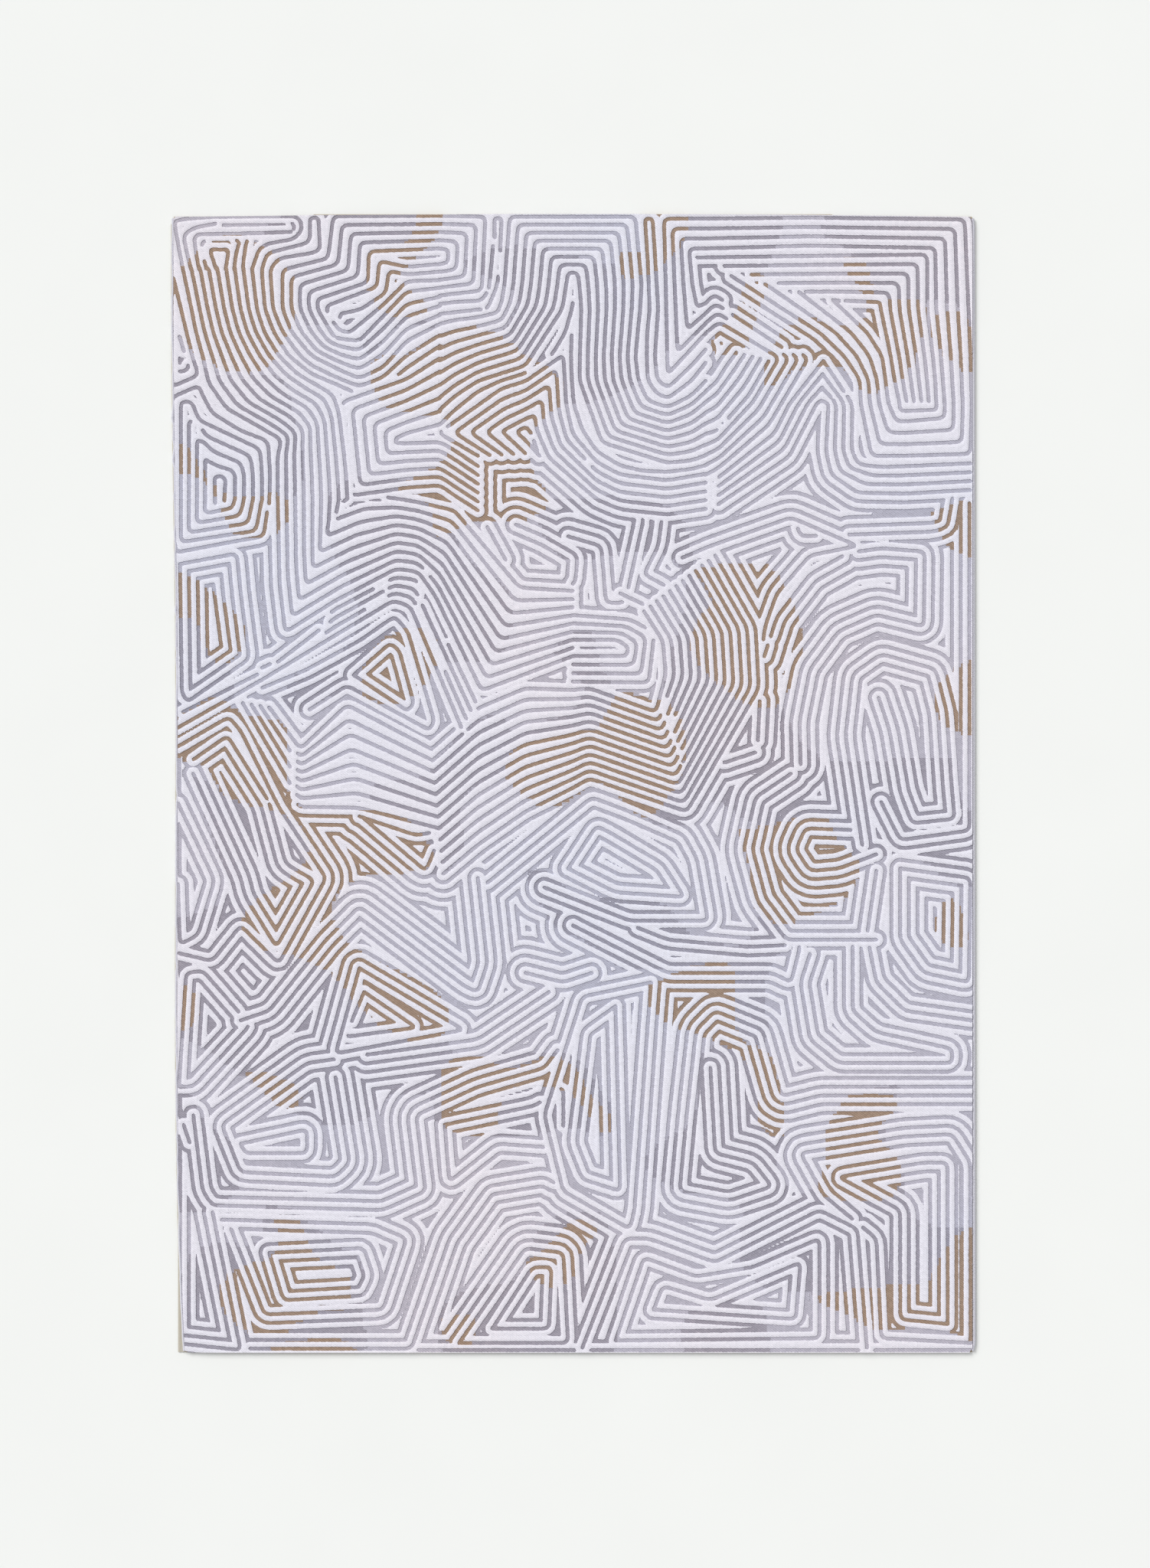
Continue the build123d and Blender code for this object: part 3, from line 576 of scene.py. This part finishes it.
def inside_node(x, y, node):
    """Which of the points lie in a CAD node's plan."""
    found = np.zeros(x.shape, bool)
    rows, columns = x.shape
    row_step = (field_high[1] - field_low[1]) / rows
    for corners in top_faces(node):
        low, high = corners.min(axis=0), corners.max(axis=0)
        first_row = max(0, int((low[1] - field_low[1]) / row_step) - 2)
        last_row = min(rows, int((high[1] - field_low[1]) / row_step) + 3)
        band = slice(first_row, last_row)
        within = np.ones(x[band].shape, bool)
        for (ax, ay), (bx, by) in zip(corners, np.roll(corners, -1, axis=0)):
            within &= (bx - ax) * (y[band] - ay) - (by - ay) * (x[band] - ax) >= 0
        found[band] |= within
    return found


def make_lower_pile(materials):
    """The lower pile in its three yarns: each lies where the CAD's areas of that yarn are."""
    x, y = field_grid(base_step_mm, base_step_mm)
    rows, columns = x.shape
    low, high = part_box("silver_groove_pile")
    random = np.random.default_rng(tuft_seed + 1)
    level = high[2] + random.uniform(-1, 1, x.shape) * tip_unevenness_mm * MM
    points = np.stack([x.ravel(), y.ravel(), level.ravel()], axis=1)
    cells = grid_cells(rows, columns)
    middle_x = points[cells, 0].mean(axis=1).reshape(rows - 1, columns - 1)
    middle_y = points[cells, 1].mean(axis=1).reshape(rows - 1, columns - 1)
    camel = inside_node(middle_x, middle_y, "camel_groove_pile").ravel()
    slate = inside_node(middle_x, middle_y, "slate_groove_pile").ravel() & ~camel
    section = np.arange(len(cells)) // (columns - 1) * base_sections // (rows - 1)
    made = {}
    for yarn, where in (("camel", camel), ("slate", slate), ("silver", ~(camel | slate))):
        made[yarn] = [
            slab_piece(
                f"{yarn}_groove_pile_{k + 1}", points, cells[where & (section == k)], low[2],
                materials[yarn],
            )
            for k in range(base_sections)
        ]
    return made


# ------------------------------------------------------------------ node trees
def linear(hex_colour):
    """An sRGB hex colour as linear RGBA."""
    parts = [int(hex_colour[k:k + 2], 16) / 255 for k in (1, 3, 5)]
    return [p / 12.92 if p <= 0.04045 else ((p + 0.055) / 1.055) ** 2.4 for p in parts] + [1.0]


def add_node(tree, kind, inputs=None, **settings):
    """Adds a node with its settings. An input is a value, or the output socket that feeds it."""
    node = tree.nodes.new(kind)
    for name, value in settings.items():
        setattr(node, name, value)
    for socket, value in (inputs or {}).items():
        if isinstance(value, bpy.types.NodeSocket):
            tree.links.new(value, node.inputs[socket])
        else:
            node.inputs[socket].default_value = value
    return node


def bare_material(name):
    """A material with an empty node tree, and that tree."""
    material = bpy.data.materials.new(name)
    material.use_nodes = True
    material.node_tree.nodes.clear()
    return material, material.node_tree


def band_scale(period_mm):
    """Scale of a wave texture whose bands are this far apart on metre coordinates."""
    return math.pi / 10 / (period_mm * MM)


def finish_surface(tree, colour, roughness, height, bump_mm, **shader):
    """Joins colour, roughness and bump to a principled shader with its own fixed values."""
    bump = add_node(
        tree, "ShaderNodeBump", {"Height": height, "Distance": bump_mm * MM, "Strength": 1.0}
    )
    surface = add_node(
        tree, "ShaderNodeBsdfPrincipled",
        {"Base Color": colour, "Roughness": roughness, "Normal": bump.outputs["Normal"]},
    )
    for name, value in shader.items():
        surface.inputs[name.replace("_", " ")].default_value = value
    add_node(tree, "ShaderNodeOutputMaterial", {"Surface": surface.outputs["BSDF"]})


grain_fall = math.radians(36)  # of the lines that the tuft tips make, down towards the east
grain_mm = 3.84
fibre_scale = 620.0  # clumps of fibre about 1.6 mm across
cloud_scale = 1.3  # the dye drifts over most of a metre
grain_share, tuft_share, fibre_share = 0.5, 0.3, 0.4  # of the pile's light and dark
pile_bump_mm = 1.2


def cut_pile(name, tip, painted_gap_shade, warm, cool):
    """Cut pile: tips in slanting rows with painted shade in the gaps between them, in a dye that
    drifts.

    Each tuft takes the light a little differently, so the colour looks soft and alive.
    """
    material, tree = bare_material(name)
    place = add_node(tree, "ShaderNodeTexCoord").outputs["Object"]
    turned = add_node(
        tree, "ShaderNodeMapping", {"Vector": place, "Rotation": (0, 0, grain_fall - math.pi / 2)}
    ).outputs["Vector"]
    grain = add_node(
        tree, "ShaderNodeTexWave",
        {"Vector": turned, "Scale": band_scale(grain_mm), "Distortion": 2.0, "Detail": 2.0,
         "Detail Scale": 0.7},
    ).outputs["Fac"]
    tuft = add_node(
        tree, "ShaderNodeVectorMath", {0: place, 1: (end_mm * MM, pick_mm * MM, 1.0)},
        operation="SNAP",
    ).outputs["Vector"]
    tuft_tone = add_node(tree, "ShaderNodeTexWhiteNoise", {"Vector": tuft}).outputs["Value"]
    fibre = add_node(
        tree, "ShaderNodeTexNoise", {"Vector": place, "Scale": fibre_scale, "Detail": 3.0}
    ).outputs["Fac"]
    cloud = add_node(
        tree, "ShaderNodeTexNoise", {"Vector": place, "Scale": cloud_scale, "Detail": 2.0}
    ).outputs["Fac"]
    drift = add_node(
        tree, "ShaderNodeMapRange", {"Value": cloud, "From Min": 0.35, "From Max": 0.65}
    ).outputs["Result"]
    dye = add_node(
        tree, "ShaderNodeMixRGB", {"Fac": drift, "Color1": linear(warm), "Color2": linear(cool)}
    ).outputs["Color"]
    dyed_tip = add_node(
        tree, "ShaderNodeMixRGB", {"Fac": 1.0, "Color1": linear(tip), "Color2": dye},
        blend_type="MULTIPLY",
    ).outputs["Color"]
    combed = add_node(
        tree, "ShaderNodeMath", {0: grain, 1: grain_share}, operation="MULTIPLY"
    ).outputs[0]
    tufted = add_node(
        tree, "ShaderNodeMath", {0: tuft_tone, 1: tuft_share, 2: combed}, operation="MULTIPLY_ADD"
    ).outputs[0]
    pile_relief_and_shade = add_node(
        tree, "ShaderNodeMath", {0: fibre, 1: fibre_share, 2: tufted}, operation="MULTIPLY_ADD"
    ).outputs[0]
    # Painted shade: where grain, tuft tone and fibre noise run low, the colour goes to the darker gap
    # colour, which stands in for the shade between the tufts
    colour = add_node(
        tree, "ShaderNodeMixRGB", {"Fac": pile_relief_and_shade, "Color1": linear(painted_gap_shade), "Color2": dyed_tip}
    ).outputs["Color"]
    dullness = add_node(
        tree, "ShaderNodeMapRange", {"Value": pile_relief_and_shade, "To Min": 1.0, "To Max": 0.82}
    ).outputs["Result"]
    finish_surface(
        tree, colour, dullness, pile_relief_and_shade, pile_bump_mm,
        Sheen_Weight=0.25, Sheen_Roughness=0.5, Specular_IOR_Level=0.25,
    )
    return material


def yarn_cloth(name, light, dark, thread_mm, direction, bump_mm, **shader):
    """Woven or wound yarn: a twist of fibres along each thread, and painted shade in the gaps between
    the threads.
    """
    material, tree = bare_material(name)
    place = add_node(tree, "ShaderNodeTexCoord").outputs["Object"]
    threads = add_node(
        tree, "ShaderNodeTexWave",
        {"Vector": place, "Scale": band_scale(thread_mm), "Distortion": 1.2, "Detail": 2.0,
         "Detail Scale": 1.5},
        bands_direction=direction,
    ).outputs["Fac"]
    fibre = add_node(
        tree, "ShaderNodeTexNoise", {"Vector": place, "Scale": fibre_scale * 1.6, "Detail": 4.0}
    ).outputs["Fac"]
    twist = add_node(
        tree, "ShaderNodeMath", {0: threads, 1: 0.5}, operation="MULTIPLY"
    ).outputs[0]
    thread_relief_and_shade = add_node(
        tree, "ShaderNodeMath", {0: fibre, 1: 0.5, 2: twist}, operation="MULTIPLY_ADD"
    ).outputs[0]
    # Painted shade: where threads and fibres run low, the colour goes to the dark colour, which stands
    # in for the shade between them
    colour = add_node(
        tree, "ShaderNodeMixRGB", {"Fac": thread_relief_and_shade, "Color1": linear(dark), "Color2": linear(light)}
    ).outputs["Color"]
    dullness = add_node(
        tree, "ShaderNodeMapRange", {"Value": fibre, "To Min": 0.95, "To Max": 0.8}
    ).outputs["Result"]
    finish_surface(tree, colour, dullness, thread_relief_and_shade, bump_mm, **shader)
    return material


def poured_coat(name, light, dark, roughness, grain_scale, bump_mm):
    """A coat that was spread wet and dried: cloudy colour and a fine uneven skin."""
    material, tree = bare_material(name)
    place = add_node(tree, "ShaderNodeTexCoord").outputs["Object"]
    cloud = add_node(
        tree, "ShaderNodeTexNoise", {"Vector": place, "Scale": 3.0, "Detail": 3.0}
    ).outputs["Fac"]
    grit = add_node(
        tree, "ShaderNodeTexNoise", {"Vector": place, "Scale": grain_scale, "Detail": 4.0}
    ).outputs["Fac"]
    colour = add_node(
        tree, "ShaderNodeMixRGB", {"Fac": cloud, "Color1": linear(dark), "Color2": linear(light)}
    ).outputs["Color"]
    dullness = add_node(
        tree, "ShaderNodeMapRange",
        {"Value": grit, "To Min": roughness - 0.08, "To Max": roughness + 0.08},
    ).outputs["Result"]
    finish_surface(tree, colour, dullness, grit, bump_mm, Specular_IOR_Level=0.3)
    return material


# ------------------------------------------------------------------ geometry trees
def new_tree(name, sockets):
    """A geometry tree with a geometry input and output, and these named inputs."""
    tree = bpy.data.node_groups.new(name, "GeometryNodeTree")
    tree.interface.new_socket("Geometry", in_out="INPUT", socket_type="NodeSocketGeometry")
    for socket, kind in sockets.items():
        tree.interface.new_socket(socket, in_out="INPUT", socket_type=f"NodeSocket{kind}")
    tree.interface.new_socket("Geometry", in_out="OUTPUT", socket_type="NodeSocketGeometry")
    return tree, add_node(tree, "NodeGroupInput").outputs


def end_tree(tree, geometry, material):
    """Ends a geometry tree in plain geometry of one material."""
    plain = add_node(tree, "GeometryNodeRealizeInstances", {"Geometry": geometry})
    dressed = add_node(
        tree, "GeometryNodeSetMaterial", {"Geometry": plain.outputs[0], "Material": material}
    )
    add_node(tree, "NodeGroupOutput", {"Geometry": dressed.outputs[0]})


def yarn_bar_tree():
    """Lays a yarn with its own size and turn at each of a guide's points."""
    tree, inputs = new_tree(
        "lay_yarns", {"Sides": "Int", "Uneven": "Float", "Seed": "Int", "Material": "Material"}
    )
    yarn = add_node(
        tree, "GeometryNodeMeshCylinder", {"Vertices": inputs["Sides"], "Radius": 0.5, "Depth": 1.0}
    )
    size = add_node(
        tree, "GeometryNodeInputNamedAttribute", {"Name": "size"}, data_type="FLOAT_VECTOR"
    )
    turn = add_node(
        tree, "GeometryNodeInputNamedAttribute", {"Name": "turn"}, data_type="FLOAT_VECTOR"
    )
    thinnest = add_node(tree, "ShaderNodeMath", {0: 1.0, 1: inputs["Uneven"]}, operation="SUBTRACT")
    random = add_node(
        tree, "FunctionNodeRandomValue",
        {2: thinnest.outputs[0], 3: 1.0, "Seed": inputs["Seed"]}, data_type="FLOAT",
    )
    fullness = add_node(
        tree, "ShaderNodeCombineXYZ",
        {"X": random.outputs[1], "Y": random.outputs[1], "Z": 1.0},
    )
    scale = add_node(
        tree, "ShaderNodeVectorMath", {0: size.outputs[0], 1: fullness.outputs[0]},
        operation="MULTIPLY",
    )
    laid = add_node(
        tree, "GeometryNodeInstanceOnPoints",
        {"Points": inputs["Geometry"], "Instance": yarn.outputs["Mesh"],
         "Rotation": turn.outputs[0], "Scale": scale.outputs[0]},
    )
    end_tree(tree, laid.outputs[0], inputs["Material"])
    return tree


def overcast_tree():
    """Winds yarn round a filled edge, along a guide line whose points know the edge's width."""
    tree, inputs = new_tree(
        "wind_overcast",
        {"Spacing": "Float", "Width": "Float", "Height": "Float", "Yarn": "Float",
         "Slant": "Float", "Wander": "Float", "Seed": "Int", "Material": "Material"},
    )
    line = add_node(tree, "GeometryNodeMeshToCurve", {"Mesh": inputs["Geometry"]})
    wound = add_node(
        tree, "GeometryNodeResampleCurve",
        {"Curve": line.outputs[0], "Length": inputs["Spacing"]}, mode="LENGTH",
    )
    loop = add_node(
        tree, "GeometryNodeCurvePrimitiveCircle", {"Resolution": 8, "Radius": 0.5}, mode="RADIUS"
    )
    half = add_node(
        tree, "ShaderNodeCombineXYZ", {"X": inputs["Width"], "Y": inputs["Height"], "Z": 1.0}
    )
    wide = add_node(
        tree, "GeometryNodeTransform", {"Geometry": loop.outputs[0], "Scale": half.outputs[0]}
    )
    thickness = add_node(
        tree, "ShaderNodeMath", {0: inputs["Yarn"], 1: 0.5}, operation="MULTIPLY"
    )
    strand = add_node(
        tree, "GeometryNodeCurvePrimitiveCircle",
        {"Resolution": 4, "Radius": thickness.outputs[0]}, mode="RADIUS",
    )
    turn_of_yarn = add_node(
        tree, "GeometryNodeCurveToMesh",
        {"Curve": wide.outputs[0], "Profile Curve": strand.outputs[0]},
    )
    span = add_node(
        tree, "GeometryNodeInputNamedAttribute", {"Name": "span"}, data_type="FLOAT"
    )
    narrowing = add_node(
        tree, "ShaderNodeCombineXYZ", {"X": span.outputs[0], "Y": 1.0, "Z": 1.0}
    )
    least = add_node(
        tree, "ShaderNodeMath", {0: inputs["Slant"], 1: inputs["Wander"]}, operation="SUBTRACT"
    )
    most = add_node(
        tree, "ShaderNodeMath", {0: inputs["Slant"], 1: inputs["Wander"]}, operation="ADD"
    )
    lean = add_node(
        tree, "FunctionNodeRandomValue",
        {2: least.outputs[0], 3: most.outputs[0], "Seed": inputs["Seed"]}, data_type="FLOAT",
    )
    upright = add_node(
        tree, "ShaderNodeCombineXYZ", {"X": math.pi / 2, "Y": 0.0, "Z": lean.outputs[1]}
    )
    winding = add_node(
        tree, "GeometryNodeInstanceOnPoints",
        {"Points": wound.outputs[0], "Instance": turn_of_yarn.outputs[0],
         "Rotation": upright.outputs[0], "Scale": narrowing.outputs[0]},
    )
    filling = add_node(
        tree, "GeometryNodeCurveToMesh",
        {"Curve": line.outputs[0], "Profile Curve": wide.outputs[0], "Fill Caps": True},
    )
    joined = add_node(tree, "GeometryNodeJoinGeometry", {"Geometry": winding.outputs[0]})
    tree.links.new(filling.outputs[0], joined.inputs["Geometry"])
    end_tree(tree, joined.outputs[0], inputs["Material"])
    return tree


def grow(name, guide, tree, values):
    """Runs a geometry tree on a guide mesh, and keeps what it makes as a plain mesh."""
    holder = bpy.data.objects.new(f"{name}_guide", guide)
    scene.collection.objects.link(holder)
    grower = holder.modifiers.new("grow", "NODES")
    grower.node_group = tree
    for socket in tree.interface.items_tree:
        if socket.in_out == "INPUT" and socket.name in values:
            grower[socket.identifier] = values[socket.name]
    grown = holder.evaluated_get(bpy.context.evaluated_depsgraph_get())
    mesh = bpy.data.meshes.new_from_object(grown)
    bpy.data.objects.remove(holder)
    mesh.name = name
    piece = bpy.data.objects.new(name, mesh)
    scene.collection.objects.link(piece)
    return piece


def guide_points(name, places, **attributes):
    """A guide of loose points with vector attributes."""
    guide = bpy.data.meshes.new(f"{name}_guide")
    guide.from_pydata(places, [], [])
    for attribute, values in attributes.items():
        layer = guide.attributes.new(attribute, "FLOAT_VECTOR", "POINT")
        layer.data.foreach_set("vector", np.asarray(values, np.float32).ravel())
    return guide


# ------------------------------------------------------------------ the ground cloth and the hems
along_x = (0.0, math.pi / 2, 0.0)  # a yarn's own height, width and length then run -Z, Y and X
along_y = (-math.pi / 2, 0.0, 0.0)
hexagon_flat = math.cos(math.pi / 6)  # a six-sided yarn's width across its flats

# The head end's outline is bowed. These are its levels of Y from a corner to the crown, and how wide
# it still is at each of them, as a share of the full width.
bow_middle = np.argmax(head_line[:, 1])
bow_levels = head_line[: bow_middle + 1, 1]
bow_widths = head_line[: bow_middle + 1, 0] / head_line[0, 0]


def crosswise_yarns(name, node, foot, head, spacing_mm, material, tree):
    """Yarns that run across the rug, filling a CAD layer's thickness between two levels of Y."""
    low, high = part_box(node)
    count = round((head - foot) / (spacing_mm * MM))
    step = (head - foot) / count
    y = foot + (np.arange(count) + 0.5) * step
    west, east = west_edge(y), east_edge(y)
    # Past its corners the head end is bowed, so there a yarn is as long as the bow is wide
    bow_share = np.interp(y, bow_levels, bow_widths)
    middle, length = (west + east) / 2, (east - west) * bow_share
    thick = high[2] - low[2]
    places = np.stack([middle, y, np.full(count, (low[2] + high[2]) / 2)], axis=1)
    sizes = np.stack([np.full(count, thick), np.full(count, step / hexagon_flat), length], axis=1)
    guide = guide_points(name, places, size=sizes, turn=np.tile(along_x, (count, 1)))
    values = {"Sides": 6, "Uneven": yarn_uneven, "Seed": 3, "Material": material}
    return grow(name, guide, tree, values)


def lengthwise_yarns(name, node, spacing_mm, material, tree):
    """Yarns that run along the rug and fill a CAD layer's thickness."""
    low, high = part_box(node)
    west, east = west_edge(0.0), east_edge(0.0)
    count = round((east - west) / (spacing_mm * MM))
    step = (east - west) / count
    x = west + (np.arange(count) + 0.5) * step
    head = head_edge(x)
    middle, length = (head + low[1]) / 2, head - low[1]
    places = np.stack([x, middle, np.full(count, (low[2] + high[2]) / 2)], axis=1)
    widths = np.full(count, step)
    heights = np.full(count, (high[2] - low[2]) / hexagon_flat)
    sizes = np.stack([widths, heights, length], axis=1)
    guide = guide_points(name, places, size=sizes, turn=np.tile(along_y, (count, 1)))
    values = {"Sides": 6, "Uneven": yarn_uneven, "Seed": 5, "Material": material}
    return grow(name, guide, tree, values)


def stitches(name, node, material, tree):
    """A line of hem stitches as long as the CAD's, each a short length of thread."""
    low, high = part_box(node)
    count = int((high[0] - low[0]) / (stitch_mm * MM))
    x = low[0] + (np.arange(count) + 0.5) * (high[0] - low[0]) / count
    places = np.stack([x, np.full(count, (low[1] + high[1]) / 2),
                       np.full(count, (low[2] + high[2]) / 2)], axis=1)
    length = stitch_share * stitch_mm * MM
    size = (high[2] - low[2], (high[1] - low[1]) / hexagon_flat, length)
    guide = guide_points(
        name, places, size=np.tile(size, (count, 1)), turn=np.tile(along_x, (count, 1))
    )
    values = {"Sides": 6, "Uneven": thread_uneven, "Seed": 7, "Material": material}
    return grow(name, guide, tree, values)


def make_latex_size(material):
    """The latex coat, which sinks a little between the weft picks that it was spread on."""
    low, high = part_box("latex_size")
    rows_per_pick, columns = 4, 9
    rows = rows_per_pick * round((high[1] - low[1]) / (pick_mm * MM)) + 1
    y, across = np.meshgrid(np.linspace(low[1], high[1], rows), np.linspace(0, 1, columns),
                            indexing="ij")
    x = west_edge(y) + across * (east_edge(y) - west_edge(y))
    sink = size_sink_mm * MM * (1 + np.cos(2 * math.pi * (y - low[1]) / (pick_mm * MM)))
    under = np.stack([x.ravel(), y.ravel(), (low[2] + sink).ravel()], axis=1)
    cells = grid_cells(rows, columns)
    # The shaped face is the lower one, so its cells are turned round and the flat face lies above
    return slab_piece("latex_size_coat", under, cells[:, ::-1], high[2], material)


# ------------------------------------------------------------------ the overcast sides
def side_lines(node, side):
    """The outer and inner edge of an overcast strip, as X at levels of Y."""
    points = node_points(node)
    low, high = points.min(axis=0), points.max(axis=0)
    short = 2 * MM  # of each end, where the strip is rounded off
    y = np.linspace(low[1] + short, high[1] - short, 160)
    inner = west_edge(y) if side < 0 else east_edge(y)
    outline = sorted_by(points, 1)
    levels = np.unique(outline[:, 1].round(5))
    outermost = [
        (outline[np.isclose(outline[:, 1], level, atol=same_level), 0] * side).max() * side
        for level in levels
    ]
    return y, inner, np.interp(y, levels, outermost)


def make_overcast(name, node, side, material, tree):
    """The yarn wound over one long edge, as wide at each place as the CAD's strip."""
    y, inner, outer = side_lines(node, side)
    low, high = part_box(node)
    height, full = high[2] - low[2], np.abs(outer - inner).max()
    guide = bpy.data.meshes.new(f"{name}_guide")
    places = np.stack([(inner + outer) / 2, y, np.full(len(y), (low[2] + high[2]) / 2)], axis=1)
    guide.from_pydata(places, [(k, k + 1) for k in range(len(y) - 1)], [])
    span = guide.attributes.new("span", "FLOAT", "POINT")
    span.data.foreach_set("value", (np.abs(outer - inner) / full).astype(np.float32))
    yarn = wrap_yarn_mm * MM
    values = {
        "Spacing": wrap_mm * MM, "Width": full - yarn, "Height": height - yarn, "Yarn": yarn,
        "Slant": wrap_slant * side, "Wander": wrap_wander, "Seed": 9,
        "Material": material,
    }
    return grow(name, guide, tree, values)


# ------------------------------------------------------------------ the setting
camera_lens_mm = 85.0
camera_sensor_mm = 36.0
view_height = 3.3044  # of what the camera sees at the rug, in metres
view_middle = (0.0044, -0.0016)  # where the camera looks, a little off the rug's middle
floor_reach = 12.0  # metres from the middle
glow_strength = 0.6
key_strength = 2.12
key_spread = 34.0  # degrees


def make_floor(material):
    """The plain floor that the rug lies on."""
    corners = floor_reach * np.array([(-1, -1, 0), (1, -1, 0), (1, 1, 0), (-1, 1, 0)])
    floor = build_piece("studio_floor", corners, [np.array([[0, 1, 2, 3]])], [False], material)


def add_sun(name, source, strength, spread_degrees):
    """A wide soft light that falls evenly on the whole floor, from the side of its source."""
    lamp = bpy.data.lights.new(name, "SUN")
    lamp.energy = strength
    lamp.angle = math.radians(spread_degrees)
    holder = bpy.data.objects.new(name, lamp)
    holder.rotation_euler = (-Vector(source)).to_track_quat("-Z", "Y").to_euler()
    scene.collection.objects.link(holder)


def add_camera():
    """A camera straight above the rug, with its upper edge towards the head end."""
    lens = bpy.data.cameras.new("camera")
    lens.lens = camera_lens_mm
    lens.sensor_width = camera_sensor_mm
    lens.dof.use_dof = False
    camera = bpy.data.objects.new("camera", lens)
    height = view_height * camera_lens_mm / camera_sensor_mm
    camera.location = (view_middle[0], view_middle[1], cad_high[2] + height)
    scene.collection.objects.link(camera)
    scene.camera = camera


def add_surroundings():
    """An even glow from all round, and the key light."""
    world = bpy.data.worlds.new("studio")
    world.use_nodes = True
    world.node_tree.nodes.clear()
    glow = add_node(
        world.node_tree, "ShaderNodeBackground", {"Color": linear("#F6F7FA"), "Strength": glow_strength}
    )
    add_node(world.node_tree, "ShaderNodeOutputWorld", {"Surface": glow.outputs[0]})
    scene.world = world
    scene.view_settings.view_transform = "Standard"
    # From the head end's west side, at about 40 degrees, so that the rug's edge throws a soft shadow
    add_sun("key_light", (-1.0, 1.0, 1.2), key_strength, key_spread)


# ------------------------------------------------------------------ putting the rug together
# Each pile's second colour is the painted shade in the gaps between its tufts
ivory_pile = cut_pile("ivory_cut_pile", "#FAF9FE", "#E0DEE6", "#FFF9FA", "#F6F8FF")
lower_yarns = {
    "silver": cut_pile("silver_cut_pile", "#CECCD5", "#A5A2AE", "#FFF8F8", "#F2F6FF"),
    "slate": cut_pile("slate_cut_pile", "#B4B1BA", "#87848F", "#FFF6F6", "#F2F5FF"),
    "camel": cut_pile("camel_cut_pile", "#B59F8D", "#84705F", "#FFF7F2", "#F7F4F4"),
}
# In each yarn cloth the second colour is the painted shade in the gaps between its threads
weft_yarn = yarn_cloth("jute_weft_yarn", "#CFC0A4", "#8F7F63", 1.1, "X", 0.3)
stuffer_yarn = yarn_cloth("cotton_stuffer_yarn", "#DED8CA", "#A79F8E", 1.0, "Y", 0.3)
latex = poured_coat("latex_size_coat_spread", "#D6D0C2", "#BDB6A6", 0.62, 900.0, 0.15)
tape_cloth = yarn_cloth("cotton_hem_tape_woven", "#E4E0D6", "#B9B3A6", 1.0, "X", 0.2)
hem_thread = yarn_cloth("polyester_hem_thread_twisted", "#F2F0EB", "#BDB9B0", 0.6, "X", 0.1,
                        Sheen_Weight=0.2)
overcast_yarn = yarn_cloth("polypropylene_overcast_yarn_wound", "#EFEEF4", "#B5B3BE", 0.9, "DIAGONAL",
                           0.25, Sheen_Weight=0.2)
cord_yarn = yarn_cloth("cotton_selvedge_cord_laid", "#D9D4C6", "#A39C8B", 1.6, "DIAGONAL", 0.3)

yarn_bars = yarn_bar_tree()
overcast_winding = overcast_tree()

foot, head = field_low[1], field_high[1]


def place_piece(piece, slot, *nodes):
    """Says which body a piece rides on and which CAD nodes it replaces; its slot is not used."""
    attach(piece, "root")
    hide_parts(*nodes)
    return piece


for ridge in make_ridges(ivory_pile):
    place_piece(ridge, "ivory_pile", "ivory_ridge_pile")
for yarn, parts in make_lower_pile(lower_yarns).items():
    for part in parts:
        place_piece(part, f"{yarn}_pile", f"{yarn}_groove_pile")

upper_weft = crosswise_yarns("upper_weft_yarns", "upper_weft", foot, head, pick_mm, weft_yarn,
                             yarn_bars)
place_piece(upper_weft, "ground_weft", "upper_weft")
lower_weft = crosswise_yarns("lower_weft_yarns", "lower_weft", foot, head, pick_mm, weft_yarn,
                             yarn_bars)
place_piece(lower_weft, "ground_weft", "lower_weft")
stuffer = lengthwise_yarns("stuffer_warp_yarns", "stuffer_warp", end_mm, stuffer_yarn, yarn_bars)
place_piece(make_latex_size(latex), "latex_size", "latex_size")

for end in ("north", "south"):
    low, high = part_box(f"hem_tape_{end}")
    tape = crosswise_yarns(f"hem_tape_{end}_ribs", f"hem_tape_{end}", low[1], high[1], tape_end_mm,
                           tape_cloth, yarn_bars)
    place_piece(tape, "hem_tape", f"hem_tape_{end}")
    thread = stitches(f"hem_stitches_{end}", f"hem_stitch_{end}", hem_thread, yarn_bars)
    place_piece(thread, "hem_thread", f"hem_stitch_{end}")

for side_name, side in (("west", -1), ("east", 1)):
    winding = make_overcast(f"overcast_{side_name}_winding", f"overcast_{side_name}", side,
                            overcast_yarn, overcast_winding)
    place_piece(winding, "overcast_yarn", f"overcast_{side_name}")
    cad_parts[f"selvedge_cord_{side_name}"].data.materials.clear()
    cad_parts[f"selvedge_cord_{side_name}"].data.materials.append(cord_yarn)

# The stuffer warps carry the whole cloth; they ride on the same body as the rest
place_piece(stuffer, "stuffer_yarn", "stuffer_warp")

add_surroundings()
make_floor(poured_coat("painted_studio_floor", "#F7F8F4", "#F3F4F0", 0.85, 60.0, 0.02))
add_camera()
